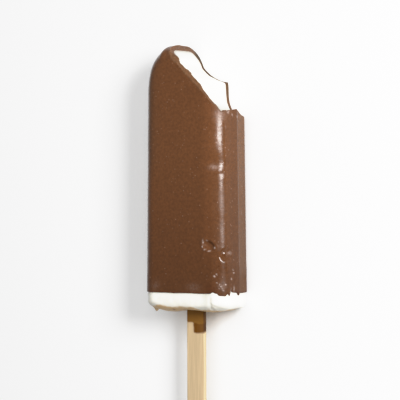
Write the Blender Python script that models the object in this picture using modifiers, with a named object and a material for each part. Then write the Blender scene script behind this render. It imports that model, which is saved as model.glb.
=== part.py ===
"""Ice cream bar on a wooden stick: a vanilla core in a thin chocolate coating, with one bite gone.

The bar lies on its flat back. X runs across the bar, +Y towards its round tip and Z up through its front.
"""

import math

import bmesh
import bpy

MM = 0.001

# overall
OVERALL_LENGTH = 165.0 * MM
TIP_Y = OVERALL_LENGTH / 2

# bar
BAR_LENGTH = 115.0 * MM
BAR_WIDTH = 44.0 * MM
BAR_DRAFT = 2.1 * MM
BAR_THICKNESS = 22.0 * MM
EDGE_RADIUS = 6.9 * MM
TIP_HEIGHT = 22.1 * MM
TIP_FULLNESS = 2.7
TIP_STEPS = 28
EDGE_STEPS = 6

# coating
COATING_THICKNESS = 0.9 * MM
TIP_COATING_EXTRA = 1.1 * MM
COATING_LENGTH = 107.3 * MM

# core
CORE_GAP = 0.3 * MM
CORE_CORNER = 3.0 * MM
CORE_END_RADIUS = 2.4 * MM
CORE_END_BULGE = 2.6 * MM

# stick
STICK_LENGTH = 114.0 * MM
STICK_WIDTH = 9.2 * MM
STICK_THICKNESS = 1.9 * MM
STICK_EDGE = 0.3 * MM
STICK_GAP = 0.3 * MM

# bite, given as (distance across from the middle, distance down from the tip)
BITE_FRONT = ((-8.0 * MM, 3.2 * MM), (19.3 * MM, 29.5 * MM))
BITE_BACK = ((-7.2 * MM, 2.0 * MM), (8.6 * MM, 16.3 * MM), (22.2 * MM, 31.4 * MM))
BITE_HOLLOWS = (3.7 * MM, 6.2 * MM)
BITE_SKEWS = (0.8, 1.0)
BITE_DEEPENING = 1.4
BITE_STEPS = 18
BITE_LEVELS = 9
BITE_SPARE = 16.0 * MM


def clear_scene():
    for obj in list(bpy.data.objects):
        bpy.data.objects.remove(obj, do_unlink=True)


def new_collection(name):
    coll = bpy.data.collections.new(name)
    bpy.context.scene.collection.children.link(coll)
    return coll


def food_material(name, colour, roughness):
    mat = bpy.data.materials.new(name)
    mat.use_nodes = True
    shader = mat.node_tree.nodes["Principled BSDF"]
    shader.inputs["Base Color"].default_value = (*colour, 1.0)
    shader.inputs["Roughness"].default_value = roughness
    return mat


def rounding(depth, radius):
    """How far a rounded edge draws in at this depth below the face it joins."""
    if depth >= radius:
        return 0.0
    return radius - math.sqrt(radius * radius - (radius - depth) ** 2)


def bar_outline(inset, tip_extra, end_y, end_inset, end_bulge):
    """The bar seen from the front, drawn in by inset and tip_extra more at its tip, as a ring of (x, y)."""
    half_tip = (BAR_WIDTH - BAR_DRAFT) / 2 - inset
    half_end = BAR_WIDTH / 2 - inset
    spring_y = TIP_Y - TIP_HEIGHT
    height = TIP_HEIGHT - inset - tip_extra
    points = []
    for i in range(TIP_STEPS + 1):
        angle = math.pi * i / TIP_STEPS
        power = 2.0 / TIP_FULLNESS
        across = math.copysign(abs(math.cos(angle)) ** power, math.cos(angle))
        points.append((half_tip * across, spring_y + height * abs(math.sin(angle)) ** power))
    corner = max(CORE_CORNER - end_inset * 0.5, 0.5 * MM)
    low_y = end_y + end_inset
    steps = 5
    for i in range(steps + 1):
        angle = math.pi + 0.5 * math.pi * i / steps
        points.append(
            (-half_end + corner + corner * math.cos(angle), low_y + corner + corner * math.sin(angle))
        )
    spans = 10
    flat = half_end - corner
    for i in range(1, spans):
        x = -flat + 2 * flat * i / spans
        points.append((x, low_y - end_bulge * (1.0 - (x / flat) ** 2)))
    for i in range(steps + 1):
        angle = 1.5 * math.pi + 0.5 * math.pi * i / steps
        points.append(
            (half_end - corner + corner * math.cos(angle), low_y + corner + corner * math.sin(angle))
        )
    return points


def bar_body(name, inset, tip_extra, end_y, end_radius, end_bulge):
    """A solid bar body: its outline stacked up through the thickness with rounded rims."""
    radius = EDGE_RADIUS - inset
    thickness = BAR_THICKNESS - 2 * inset
    depths = [radius * (1.0 - math.cos(0.5 * math.pi * i / EDGE_STEPS)) for i in range(EDGE_STEPS + 1)]
    levels = depths + [thickness - d for d in reversed(depths)]
    bm = bmesh.new()
    rings = []
    for level in levels:
        depth = min(level, thickness - level)
        drawn_in = inset + rounding(depth, radius)
        ring = bar_outline(drawn_in, tip_extra, end_y, rounding(depth, end_radius), end_bulge)
        rings.append([bm.verts.new((x, y, inset + level)) for x, y in ring])
    count = len(rings[0])
    for low, high in zip(rings, rings[1:]):
        for i in range(count):
            j = (i + 1) % count
            bm.faces.new((low[i], low[j], high[j], high[i]))
    bm.faces.new(list(reversed(rings[0])))
    bm.faces.new(rings[-1])
    bmesh.ops.recalc_face_normals(bm, faces=bm.faces)
    mesh = bpy.data.meshes.new(name)
    bm.to_mesh(mesh)
    bm.free()
    return bpy.data.objects.new(name, mesh)


def prism(name, points, low, high):
    """A straight prism over a ring of (x, y), from z low to z high."""
    bm = bmesh.new()
    base = [bm.verts.new((x, y, low)) for x, y in points]
    face = bm.faces.new(base)
    moved = bmesh.ops.extrude_face_region(bm, geom=[face])["geom"]
    tops = [v for v in moved if isinstance(v, bmesh.types.BMVert)]
    bmesh.ops.translate(bm, verts=tops, vec=(0.0, 0.0, high - low))
    bmesh.ops.recalc_face_normals(bm, faces=bm.faces)
    mesh = bpy.data.meshes.new(name)
    bm.to_mesh(mesh)
    bm.free()
    return bpy.data.objects.new(name, mesh)


def stadium(width, low_y, high_y, steps=12):
    """A strip with half-round ends, as a ring of (x, y)."""
    radius = width / 2
    points = []
    for i in range(steps + 1):
        angle = math.pi * i / steps
        points.append((radius * math.cos(angle), high_y - radius + radius * math.sin(angle)))
    for i in range(steps + 1):
        angle = math.pi + math.pi * i / steps
        points.append((radius * math.cos(angle), low_y + radius + radius * math.sin(angle)))
    return points


def between(start, stop, share):
    return (start[0] + (stop[0] - start[0]) * share, start[1] + (stop[1] - start[1]) * share)


def hollowed(start, stop, depth, skew, share):
    """A point on the way from start to stop, which sinks by up to depth into the bar."""
    x, down = between(start, stop, share)
    run = math.hypot(stop[0] - start[0], stop[1] - start[1])
    bent = share**skew
    sink = depth * 4.0 * bent * (1.0 - bent) / run
    return (x - sink * (stop[1] - start[1]), down + sink * (stop[0] - start[0]))


def bite_row(backness):
    """The bite's edge at one depth through the bar: straight at the front, two tooth hollows at the back."""
    row = []
    for i in range(BITE_STEPS + 1):
        share = i / BITE_STEPS
        front = between(*BITE_FRONT, share)
        tooth = 0 if share < 0.5 else 1
        start, stop = BITE_BACK[tooth : tooth + 2]
        back = hollowed(start, stop, BITE_HOLLOWS[tooth], BITE_SKEWS[tooth], share * 2 - tooth)
        x, down = between(front, back, backness**BITE_DEEPENING)
        row.append((x, TIP_Y - down))
    first, last = row[0], row[-1]
    corner = (last[0] + BITE_SPARE, first[1] + BITE_SPARE)
    lead_in = (first[0] - 0.15 * BITE_SPARE, corner[1])
    lead_out = (corner[0], last[1])
    return [lead_in, *row, lead_out, corner]


def bite_cutter():
    """What the bite took, as a loft from its front edge to its back edge."""
    bm = bmesh.new()
    rings = []
    for level in range(BITE_LEVELS + 1):
        height = BAR_THICKNESS * (1.2 - 1.4 * level / BITE_LEVELS)
        backness = min(max(1.0 - height / BAR_THICKNESS, 0.0), 1.0)
        rings.append([bm.verts.new((x, y, height)) for x, y in bite_row(backness)])
    count = len(rings[0])
    for high, low in zip(rings, rings[1:]):
        for i in range(count):
            j = (i + 1) % count
            bm.faces.new((low[i], low[j], high[j], high[i]))
    bm.faces.new(rings[0])
    bm.faces.new(list(reversed(rings[-1])))
    bmesh.ops.recalc_face_normals(bm, faces=bm.faces)
    mesh = bpy.data.meshes.new("bite")
    bm.to_mesh(mesh)
    bm.free()
    return bpy.data.objects.new("bite", mesh)


def cut(obj, cutter, operation="DIFFERENCE"):
    mod = obj.modifiers.new(cutter.name, "BOOLEAN")
    mod.operation = operation
    mod.object = cutter
    mod.solver = "EXACT"


def finish_piece(obj, coll, material):
    coll.objects.link(obj)
    obj.data.materials.append(material)
    for face in obj.data.polygons:
        face.use_smooth = True


def finish_cutter(obj, coll):
    coll.objects.link(obj)
    obj.display_type = "WIRE"
    obj.hide_render = True


def build():
    clear_scene()
    parts = new_collection("ice_cream_bar")
    tools = new_collection("cutters")

    bar_end = TIP_Y - BAR_LENGTH
    coating_end = TIP_Y - COATING_LENGTH
    deeper = COATING_THICKNESS + CORE_GAP

    coating = bar_body("chocolate_coating", 0.0, 0.0, coating_end - 10 * MM, 1 * MM, 0.0)
    hollow = bar_body(
        "coating_hollow", COATING_THICKNESS, TIP_COATING_EXTRA, coating_end - 14 * MM, 1 * MM, 0.0
    )
    core = bar_body(
        "ice_cream",
        deeper,
        TIP_COATING_EXTRA,
        bar_end + CORE_END_BULGE,
        CORE_END_RADIUS,
        CORE_END_BULGE,
    )

    open_end = prism(
        "open_end",
        [(-60 * MM, -150 * MM), (60 * MM, -150 * MM), (60 * MM, coating_end), (-60 * MM, coating_end)],
        -20 * MM,
        BAR_THICKNESS + 20 * MM,
    )

    mid_z = BAR_THICKNESS / 2
    stick_low = -OVERALL_LENGTH / 2
    stick_high = stick_low + STICK_LENGTH
    stick = prism(
        "stick",
        stadium(STICK_WIDTH, stick_low, stick_high),
        mid_z - STICK_THICKNESS / 2,
        mid_z + STICK_THICKNESS / 2,
    )
    bevel = stick.modifiers.new("edge", "BEVEL")
    bevel.width = STICK_EDGE
    bevel.segments = 3
    bevel.limit_method = "ANGLE"
    bevel.angle_limit = math.radians(50)

    slot = prism(
        "stick_slot",
        stadium(STICK_WIDTH + 2 * STICK_GAP, stick_low - 20 * MM, stick_high + STICK_GAP),
        mid_z - STICK_THICKNESS / 2 - STICK_GAP,
        mid_z + STICK_THICKNESS / 2 + STICK_GAP,
    )

    cut(coating, hollow)
    cut(coating, open_end)
    cut(core, slot)
    bite = bite_cutter()
    cut(coating, bite)
    cut(core, bite)

    finish_piece(coating, parts, food_material("milk_chocolate", (0.14, 0.06, 0.028), 0.38))
    finish_piece(core, parts, food_material("vanilla_ice_cream", (0.92, 0.89, 0.82), 0.6))
    finish_piece(stick, parts, food_material("birch_wood", (0.72, 0.52, 0.30), 0.6))
    for tool in (hollow, open_end, slot, bite):
        finish_cutter(tool, tools)


build()
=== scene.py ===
"""Looks of the ice cream bar: its coating, its ice cream, its stick, and a plain studio to show it in."""

import math

import bpy
import numpy as np
from bpy.props import FloatProperty, FloatVectorProperty, IntProperty, PointerProperty
from mathutils import Matrix, Vector, noise
from mathutils.kdtree import KDTree


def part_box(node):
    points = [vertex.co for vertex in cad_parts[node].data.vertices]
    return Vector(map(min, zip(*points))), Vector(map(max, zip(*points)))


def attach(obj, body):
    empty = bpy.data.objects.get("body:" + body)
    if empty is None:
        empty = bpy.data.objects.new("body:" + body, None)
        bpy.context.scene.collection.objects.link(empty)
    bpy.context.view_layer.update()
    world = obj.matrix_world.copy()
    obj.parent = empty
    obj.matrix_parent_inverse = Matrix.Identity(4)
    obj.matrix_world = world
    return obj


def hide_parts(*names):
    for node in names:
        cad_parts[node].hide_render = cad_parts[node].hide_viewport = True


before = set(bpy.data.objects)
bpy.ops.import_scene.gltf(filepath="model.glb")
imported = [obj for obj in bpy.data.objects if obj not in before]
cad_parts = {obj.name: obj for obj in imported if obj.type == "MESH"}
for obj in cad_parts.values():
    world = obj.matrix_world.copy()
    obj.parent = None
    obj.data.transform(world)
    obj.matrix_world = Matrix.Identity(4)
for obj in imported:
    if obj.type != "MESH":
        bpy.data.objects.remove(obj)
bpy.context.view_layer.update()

bl_info = {
    "name": "Ice Cream Bar",
    "version": (1, 0, 0),
    "blender": (4, 5, 0),
    "location": "3D View > Sidebar > Ice Cream Bar",
    "description": "Makes a bitten, chocolate-coated ice cream bar on a wooden stick, and a studio for it",
    "category": "Object",
}

MM = 0.001
COATING_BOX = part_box("chocolate_coating")
CORE_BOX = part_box("ice_cream")
STICK_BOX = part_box("stick")

# The plain form that the coating and the ice cream share, in metres
BITTEN_OFF_TIP = 0.61 * MM
TIP_Y = COATING_BOX[1][1] + BITTEN_OFF_TIP
THICKNESS = COATING_BOX[1][2]
COATING_END_Y = COATING_BOX[0][1]
CORE_END_Y = CORE_BOX[0][1]
HALF_WIDTH_LOW = COATING_BOX[1][0] + 0.08 * MM
DRAFT = 1.05 * MM
TIP_HEIGHT = 22.1 * MM
TIP_FULLNESS = 2.7
RIM_RADIUS = 6.9 * MM

# The bite, as (across from the middle, down from the tip)
BITE_FRONT = ((-8.0 * MM, 3.2 * MM), (19.3 * MM, 29.5 * MM))
BITE_BACK = ((-8.4 * MM, 0.4 * MM), (-3.8 * MM, 9.35 * MM), (9.1 * MM, 16.2 * MM), (22.2 * MM, 31.4 * MM))
BITE_SHARES = (0.0, 0.2, 0.5, 1.0)
BITE_HOLLOWS = (-0.15 * MM, 1.3 * MM, 6.2 * MM)
BITE_SKEWS = (1.0, 1.0, 1.25)
BITE_DEEPENING = 1.4
BITE_SPARE = 16.0 * MM
LIP_HEIGHTS = (0.0, 2.0 * MM, 4.3 * MM, 6.5 * MM, 8.7 * MM, 10.3 * MM, 14.0 * MM, 17.0 * MM, 18.5 * MM)
LIP_DOWNS = (31.6 * MM, 31.4 * MM, 31.0 * MM, 30.3 * MM, 29.2 * MM, 28.4 * MM, 28.9 * MM, 29.1 * MM, 29.3 * MM)


# ---------------------------------------------------------------- small helpers


def smooth_step(low, high, value):
    share = np.clip((value - low) / (high - low), 0.0, 1.0)
    return share * share * (3.0 - 2.0 * share)


def swell(offset, width):
    """A soft swelling: 1 at no offset, and almost nothing at twice the width."""
    return np.exp(-((offset / width) ** 2))


def noise_at(points, size, seed):
    """Smooth noise between about -1 and 1 at each point, with features of this size."""
    shift = Vector((seed * 13.7, seed * 7.3, seed * 3.1))
    return np.array([noise.noise(Vector(p) / size + shift) for p in points.tolist()])


def graded(start, stop, zone, fine, coarse, growth=0.12):
    """Places from start to stop, fine steps apart in the zone and wider away from it."""
    places = [start]
    while places[-1] < stop:
        off = max(zone[0] - places[-1], places[-1] - zone[1], 0.0)
        places.append(places[-1] + min(coarse, fine + growth * off))
    places = np.array(places)
    return start + (places - start) * (stop - start) / (places[-1] - start)


def grid_faces(index):
    """The four-sided faces between neighbours in a 2-D array of vertex numbers."""
    corners = (index[:-1, :-1], index[:-1, 1:], index[1:, 1:], index[1:, :-1])
    return np.stack(corners, axis=-1).reshape(-1, 4)


def make_mesh(name, points, faces, caps=()):
    mesh = bpy.data.meshes.new(name)
    mesh.from_pydata(points.tolist(), [], [*faces.tolist(), *caps])
    mesh.update()
    return mesh


def mesh_points(mesh):
    flat = np.empty(len(mesh.vertices) * 3)
    mesh.vertices.foreach_get("co", flat)
    return flat.reshape(-1, 3)


def mesh_normals(mesh):
    flat = np.empty(len(mesh.vertices) * 3)
    mesh.vertex_normals.foreach_get("vector", flat)
    return flat.reshape(-1, 3)


def move_points(mesh, points):
    mesh.vertices.foreach_set("co", points.ravel())
    mesh.update()


def new_object(name, mesh):
    obj = bpy.data.objects.new(name, mesh)
    bpy.context.scene.collection.objects.link(obj)
    return obj


def cut_away(obj, *cutters):
    """Cuts closed meshes away from an object, and deletes them."""
    for cutter in cutters:
        mod = obj.modifiers.new(cutter.name, "BOOLEAN")
        mod.operation = "DIFFERENCE"
        mod.object = cutter
        mod.solver = "MANIFOLD"
    bpy.context.view_layer.update()
    shaped = obj.evaluated_get(bpy.context.evaluated_depsgraph_get())
    mesh = bpy.data.meshes.new_from_object(shaped)
    mesh.name = obj.name
    mesh.materials.clear()
    obj.modifiers.clear()
    old = obj.data
    obj.data = mesh
    bpy.data.meshes.remove(old)
    for cutter in cutters:
        cutter_mesh = cutter.data
        bpy.data.objects.remove(cutter)
        bpy.data.meshes.remove(cutter_mesh)


def shade(obj, sharp_above):
    obj.data.shade_smooth()
    obj.data.set_sharp_from_angle(angle=math.radians(sharp_above))


# ---------------------------------------------------------------- the bar's form


def half_width_at(y):
    """Half the bar's width below its domed tip, which grows evenly towards the stick."""
    spring = TIP_Y - TIP_HEIGHT
    share = np.clip((spring - y) / (spring - COATING_END_Y), 0.0, None)
    return HALF_WIDTH_LOW - DRAFT + DRAFT * share


def draw_in(depth, radius):
    """How far a rounded rim draws in at this depth below the face it joins."""
    if depth >= radius:
        return 0.0
    return radius - math.sqrt(radius * radius - (radius - depth) ** 2)


def dome_angles(start, stop, shares):
    """Angles along the domed tip that are evenly placed by length, at these shares of the way."""
    angles = np.linspace(start, stop, 4000)
    power = 2.0 / TIP_FULLNESS
    x = np.sign(np.cos(angles)) * np.abs(np.cos(angles)) ** power * (HALF_WIDTH_LOW - DRAFT)
    y = np.abs(np.sin(angles)) ** power * TIP_HEIGHT
    length = np.concatenate([[0.0], np.cumsum(np.hypot(np.diff(x), np.diff(y)))])
    return np.interp(np.asarray(shares) * length[-1], length, angles)


class Spacing:
    """How closely the points of a bar body stand along its side, over its tip and across it."""

    def __init__(self, side, shoulder, across, rim, wall, back_rim):
        self.side = side
        top = math.radians(55)
        self.shoulder = dome_angles(0.0, top, np.linspace(0.0, 1.0, shoulder + 1)[1:])
        self.across = across
        self.crown = dome_angles(math.pi - top, top, across)
        self.rim = rim
        self.wall = wall
        self.back_rim = back_rim
        self.rows = len(side) + shoulder
        self.columns = len(across)


def ring(spacing, inset, tip_extra, low_y, corner, bulge):
    """The bar's outline drawn in by inset: up the left, over the tip, down the right, back along the end."""
    power = 2.0 / TIP_FULLNESS
    spring = TIP_Y - TIP_HEIGHT
    side_y = low_y + (spring - low_y) * spacing.side
    side_x = half_width_at(side_y) - inset
    if corner > 0:
        lift = np.clip(1.0 - (side_y - low_y) / corner, 0.0, 1.0)
        side_x = side_x - corner * (1.0 - np.sqrt(1.0 - lift * lift))
    width = HALF_WIDTH_LOW - DRAFT - inset
    height = TIP_HEIGHT - inset - tip_extra

    def dome(angles):
        x = width * np.sign(np.cos(angles)) * np.abs(np.cos(angles)) ** power
        y = spring + height * np.abs(np.sin(angles)) ** power
        return np.stack([x, y], axis=1)

    shoulder = dome(spacing.shoulder)
    right = np.concatenate([np.stack([side_x, side_y], axis=1), shoulder])
    left = right * (-1.0, 1.0)
    crown = dome(spacing.crown)[1:-1]
    end_x = side_x[0] * (2.0 * spacing.across[::-1][1:-1] - 1.0)
    end_y = low_y - bulge * (1.0 - (end_x / side_x[0]) ** 4)
    return np.concatenate([left, crown, right[::-1], np.stack([end_x, end_y], axis=1)])


def filled(edge, spacing):
    """The flat inside of a ring as a grid of points, rows from the end to the tip."""
    rows, columns = spacing.rows, spacing.columns
    left = edge[:rows]
    top = edge[rows - 1 : rows + columns - 1]
    right = edge[rows + columns - 2 : 2 * rows + columns - 2][::-1]
    low = np.concatenate([edge[:1], edge[2 * rows + columns - 2 :][::-1], right[:1]])
    u = spacing.across[None, :, None]
    v = ((left[:, 1] - left[0, 1]) / (left[-1, 1] - left[0, 1]))[:, None, None]
    corners = (
        (1 - u) * (1 - v) * low[0]
        + u * (1 - v) * low[-1]
        + (1 - u) * v * top[0]
        + u * v * top[-1]
    )
    return (1 - v) * low[None] + v * top[None] + (1 - u) * left[:, None] + u * right[:, None] - corners


def bar_body(name, spacing, inset=0.0, tip_extra=0.0, low_y=0.0, corner=0.0, end_depth=0.0, end_rise=0.0, bulge=0.0):
    """A closed bar body: a gridded front, rounded rims, straight walls and a flat back."""
    radius = RIM_RADIUS - inset
    top = THICKNESS - inset
    thickness = THICKNESS - 2.0 * inset
    rim = radius * (1.0 - np.cos(np.linspace(0.0, math.pi / 2, spacing.rim + 1)))
    back = radius * (1.0 - np.cos(np.linspace(0.0, math.pi / 2, spacing.back_rim + 1)))
    wall = radius + (thickness - 2.0 * radius) * np.linspace(0.0, 1.0, spacing.wall + 1)
    depths = np.concatenate([rim[:-1], wall, (thickness - back[::-1])[1:]])
    rings = []
    for depth in depths:
        near = min(depth, thickness - depth)
        end = low_y + end_rise * draw_in(near / end_depth, 1.0) if end_depth > 0 else low_y
        drawn = draw_in(near, radius)
        flat = ring(spacing, inset + drawn, tip_extra, end, corner * (1.0 - 0.9 * drawn / radius), bulge)
        rings.append(np.column_stack([flat, np.full(len(flat), top - depth)]))
    rows, columns = spacing.rows, spacing.columns
    front = np.column_stack([filled(rings[0][:, :2], spacing).reshape(-1, 2), np.full(rows * columns, top)])
    grid = np.arange(rows * columns).reshape(rows, columns)
    first = np.concatenate([grid[:, 0], grid[-1, 1:-1], grid[::-1, -1], grid[0, -2:0:-1]])
    count = len(first)
    later = rows * columns + np.arange((len(rings) - 1) * count).reshape(-1, count)
    loops = np.concatenate([first[None], later])
    loops = np.concatenate([loops, loops[:, :1]], axis=1)
    walls = grid_faces(loops)
    points = np.concatenate([front, *rings[1:]])
    faces = np.concatenate([grid_faces(grid), walls])
    return make_mesh(name, points, faces, caps=[loops[-1, :-1].tolist()])


def around(points):
    """How far round the section each point is from the middle of the front, to the right."""
    x, y, z = points.T
    flat = half_width_at(y) - RIM_RADIUS
    angle = np.arctan2(np.clip(np.abs(x) - flat, 1e-9, None), np.clip(z - (THICKNESS - RIM_RADIUS), 0.0, None))
    way = np.minimum(np.abs(x), flat) + RIM_RADIUS * angle + np.clip(THICKNESS - RIM_RADIUS - z, 0.0, None)
    return np.sign(x) * way


# ---------------------------------------------------------------- the bite


def between(start, stop, share):
    return (start[0] + (stop[0] - start[0]) * share, start[1] + (stop[1] - start[1]) * share)


def back_edge(share):
    """The bite's edge on the back, as tooth marks that each sink into the bar, or stand out of it."""
    tooth = max(i for i in range(len(BITE_HOLLOWS)) if share >= BITE_SHARES[i])
    start, stop = BITE_BACK[tooth : tooth + 2]
    part = (share - BITE_SHARES[tooth]) / (BITE_SHARES[tooth + 1] - BITE_SHARES[tooth])
    x, down = between(start, stop, part)
    run = math.hypot(stop[0] - start[0], stop[1] - start[1])
    bent = part ** BITE_SKEWS[tooth]
    sink = BITE_HOLLOWS[tooth] * 4.0 * bent * (1.0 - bent) / run
    return (x - sink * (stop[1] - start[1]), down + sink * (stop[0] - start[0]))


def broken_width(share):
    """How much further the coating broke away than the ice cream, along the front edge."""
    width = 1.30 - 0.95 * share
    width -= 0.45 * swell(share - 0.03, 0.06) - 0.35 * swell(share - 0.15, 0.05)
    width -= 0.30 * swell(share - 0.235, 0.035) - 0.45 * smooth_step(0.30, 0.38, share) * (1.0 - smooth_step(0.5, 0.9, share))
    width += 0.25 * swell(share - 0.60, 0.03)
    for place in (0.20, 0.43, 0.655):
        # the edge juts out more and more, and steps back at each place
        width += 0.34 * float(np.clip((share - place + 0.09) / 0.09, 0.0, 1.0)) * (share < place)
    return width * MM


def edge_drift(share):
    """How far the middle of the front edge stands out from its plain line."""
    return 0.34 * MM * swell(share - 0.45, 0.33) - 0.9 * MM * smooth_step(0.90, 1.0, share)


def lip_down(height):
    """How far down from the tip the right side's broken lip stands, at this height."""
    down = np.interp(height, LIP_HEIGHTS, LIP_DOWNS)
    return down + 1.0 * MM * swell(height - 16.3 * MM, 0.35 * MM)


def bite_sheet(settings, for_coating):
    """The bitten surface as a grid of points, rows from above the front to below the back."""
    step = settings.grain_step
    samples = int(40 * MM / step)
    fine_top = THICKNESS + 1.0 * MM
    heights = np.concatenate(
        [
            [THICKNESS + 3.0 * MM],
            np.arange(fine_top, THICKNESS - 2.2 * MM, -0.16 * MM),
            np.arange(THICKNESS - 2.2 * MM, -1.0 * MM, -step),
            [-3.0 * MM],
        ]
    )
    front_run = Vector((BITE_FRONT[1][0] - BITE_FRONT[0][0], BITE_FRONT[1][1] - BITE_FRONT[0][1], 0.0))
    away = Vector((front_run.y, -front_run.x, 0.0)).normalized()
    rows = []
    for height in heights:
        backness = min(max(1.0 - height / THICKNESS, 0.0), 1.0)
        row = []
        for i in range(samples + 1):
            share = i / samples
            back = back_edge(share)
            front = between(*BITE_FRONT, share)
            keep = float(broken_width(share))
            drift = float(edge_drift(share))
            front = (front[0] + away.x * (keep + drift), front[1] + away.y * (keep + drift))
            x, down = between(front, back, backness**BITE_DEEPENING)
            if not for_coating:
                back_step = settings.back_step * float(smooth_step(5.0 * MM, 1.2 * MM, height))
                x -= away.x * back_step
                down -= away.y * back_step
            else:
                spread = min(max((height - THICKNESS + settings.lip_depth) / settings.lip_depth, 0.0), 1.3)
                x -= away.x * keep * spread
                down -= away.y * keep * spread
                if height < 18.0 * MM:
                    side = float(smooth_step(0.88, 1.0, share))
                    down += (float(lip_down(height)) - down) * side
            row.append((x, TIP_Y - down, height))
        rows.append(row)
    return np.array(rows)


def bite_cutter(name, settings, for_coating):
    """What the bite took away, closed round its outside."""
    sheet = bite_sheet(settings, for_coating)
    first, last = sheet[:, 0], sheet[:, -1]
    corner_x = sheet[:, :, 0].max() + BITE_SPARE
    corner_y = sheet[:, :, 1].max() + BITE_SPARE
    height = sheet[:, 0, 2]
    lead_in = np.stack([first[:, 0] - 0.1 * BITE_SPARE, np.full(len(height), corner_y), height], axis=1)
    lead_out = np.stack([np.full(len(height), corner_x), last[:, 1], height], axis=1)
    corner = np.stack([np.full(len(height), corner_x), np.full(len(height), corner_y), height], axis=1)
    # the steps that lead in and out of the bite carry the grain past the bar's skin
    steps = np.linspace(0.0, 1.0, 24)[:-1]
    enter = np.stack([lead_in + (first - lead_in) * s for s in steps], axis=1)
    leave = np.stack([last + (lead_out - last) * s for s in steps[1:]], axis=1)
    grid = np.concatenate([enter, sheet, leave], axis=1)
    flat = grid.reshape(-1, 3)
    run = Vector((BITE_FRONT[1][0] - BITE_FRONT[0][0], BITE_FRONT[0][1] - BITE_FRONT[1][1], 0.0)).normalized()
    out = np.array((-run.y, run.x, 0.0))
    rough = settings.bite_wave * noise_at(flat, 5.0 * MM, 3)
    rough += settings.bite_grain * noise_at(flat, 1.1 * MM, 5)
    rough += 0.4 * settings.bite_grain * noise_at(flat, 0.5 * MM, 7)
    drawn = np.column_stack([flat[:, 0] * 0.12, flat[:, 1] * 0.12, flat[:, 2]])
    rough += settings.bite_drag * noise_at(drawn, 2.6 * MM, 9)
    if for_coating:
        rough += settings.chip * noise_at(flat, 0.8 * MM, 11) * np.where(flat[:, 2] > THICKNESS - 2.4 * MM, 1.0, 0.5)
    flat = flat + rough[:, None] * out
    grid = flat.reshape(grid.shape)
    closed = np.concatenate([grid, lead_out[:, None], corner[:, None]], axis=1)
    rows, columns = closed.shape[:2]
    index = np.arange(rows * columns).reshape(rows, columns)
    looped = np.concatenate([index, index[:, :1]], axis=1)
    faces = grid_faces(looped)
    caps = [index[0].tolist(), index[-1, ::-1].tolist()]
    return new_object(name, make_mesh(name, closed.reshape(-1, 3), faces[:, ::-1], caps))


# ---------------------------------------------------------------- materials


class Shader:
    """A Principled material with a few short ways to add and join its nodes."""

    def __init__(self, name):
        self.material = bpy.data.materials.new(name)
        self.material.use_nodes = True
        self.tree = self.material.node_tree
        self.surface = self.tree.nodes["Principled BSDF"]
        self.place = self.add("ShaderNodeTexCoord").outputs["Object"]

    def add(self, kind, **values):
        node = self.tree.nodes.new(kind)
        for key, value in values.items():
            setattr(node, key, value)
        return node

    def join(self, start, stop):
        self.tree.links.new(start, stop)

    def noise(self, scale, detail=3.0, roughness=0.5, place=None, distortion=0.0):
        node = self.add("ShaderNodeTexNoise")
        node.inputs["Scale"].default_value = scale
        node.inputs["Detail"].default_value = detail
        node.inputs["Roughness"].default_value = roughness
        node.inputs["Distortion"].default_value = distortion
        self.join(place or self.place, node.inputs["Vector"])
        return node.outputs["Fac"]

    def spots(self, scale, size, softness, seed=0.0, place=None):
        """Scattered round spots: 1 inside a spot, 0 outside."""
        node = self.add("ShaderNodeTexVoronoi")
        node.inputs["Scale"].default_value = scale
        node.inputs["Randomness"].default_value = 1.0
        where = self.stretched((1.0, 1.0, 1.0), (seed, seed * 0.7, seed * 1.3), place)
        self.join(where, node.inputs["Vector"])
        return self.span(node.outputs["Distance"], size + softness, size)

    def stretched(self, scale, location=(0.0, 0.0, 0.0), place=None):
        node = self.add("ShaderNodeMapping")
        node.inputs["Scale"].default_value = scale
        node.inputs["Location"].default_value = location
        self.join(place or self.place, node.inputs["Vector"])
        return node.outputs["Vector"]

    def span(self, value, low, high, to_low=0.0, to_high=1.0):
        node = self.add("ShaderNodeMapRange")
        node.inputs["From Min"].default_value = low
        node.inputs["From Max"].default_value = high
        node.inputs["To Min"].default_value = to_low
        node.inputs["To Max"].default_value = to_high
        self.join(value, node.inputs["Value"])
        return node.outputs["Result"]

    def axis(self, letter):
        node = self.add("ShaderNodeSeparateXYZ")
        self.join(self.place, node.inputs[0])
        return node.outputs[letter]

    def math(self, operation, first, second):
        node = self.add("ShaderNodeMath", operation=operation)
        for socket, value in zip(node.inputs, (first, second)):
            if isinstance(value, (int, float)):
                socket.default_value = value
            else:
                self.join(value, socket)
        return node.outputs["Value"]

    def mix(self, share, first, second, blend="MIX"):
        node = self.add("ShaderNodeMix", data_type="RGBA", blend_type=blend)
        for socket, value in zip((node.inputs[0], node.inputs[6], node.inputs[7]), (share, first, second)):
            if isinstance(value, (int, float)):
                socket.default_value = value
            elif isinstance(value, tuple):
                socket.default_value = (*value, 1.0)
            else:
                self.join(value, socket)
        return node.outputs[2]

    def painted(self, name):
        node = self.add("ShaderNodeAttribute", attribute_name=name)
        return node.outputs["Fac"]

    def bump(self, height, distance, strength=1.0, under=None):
        node = self.add("ShaderNodeBump")
        node.inputs["Distance"].default_value = distance
        node.inputs["Strength"].default_value = strength
        self.join(height, node.inputs["Height"])
        if under is not None:
            self.join(under, node.inputs["Normal"])
        return node.outputs["Normal"]

    def colour(self, value):
        self.join(value, self.surface.inputs["Base Color"])

    def roughness(self, value):
        self.join(value, self.surface.inputs["Roughness"])

    def normal(self, value):
        self.join(value, self.surface.inputs["Normal"])


def tone(colour, factor):
    return tuple(min(c * factor, 1.0) for c in colour)


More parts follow.
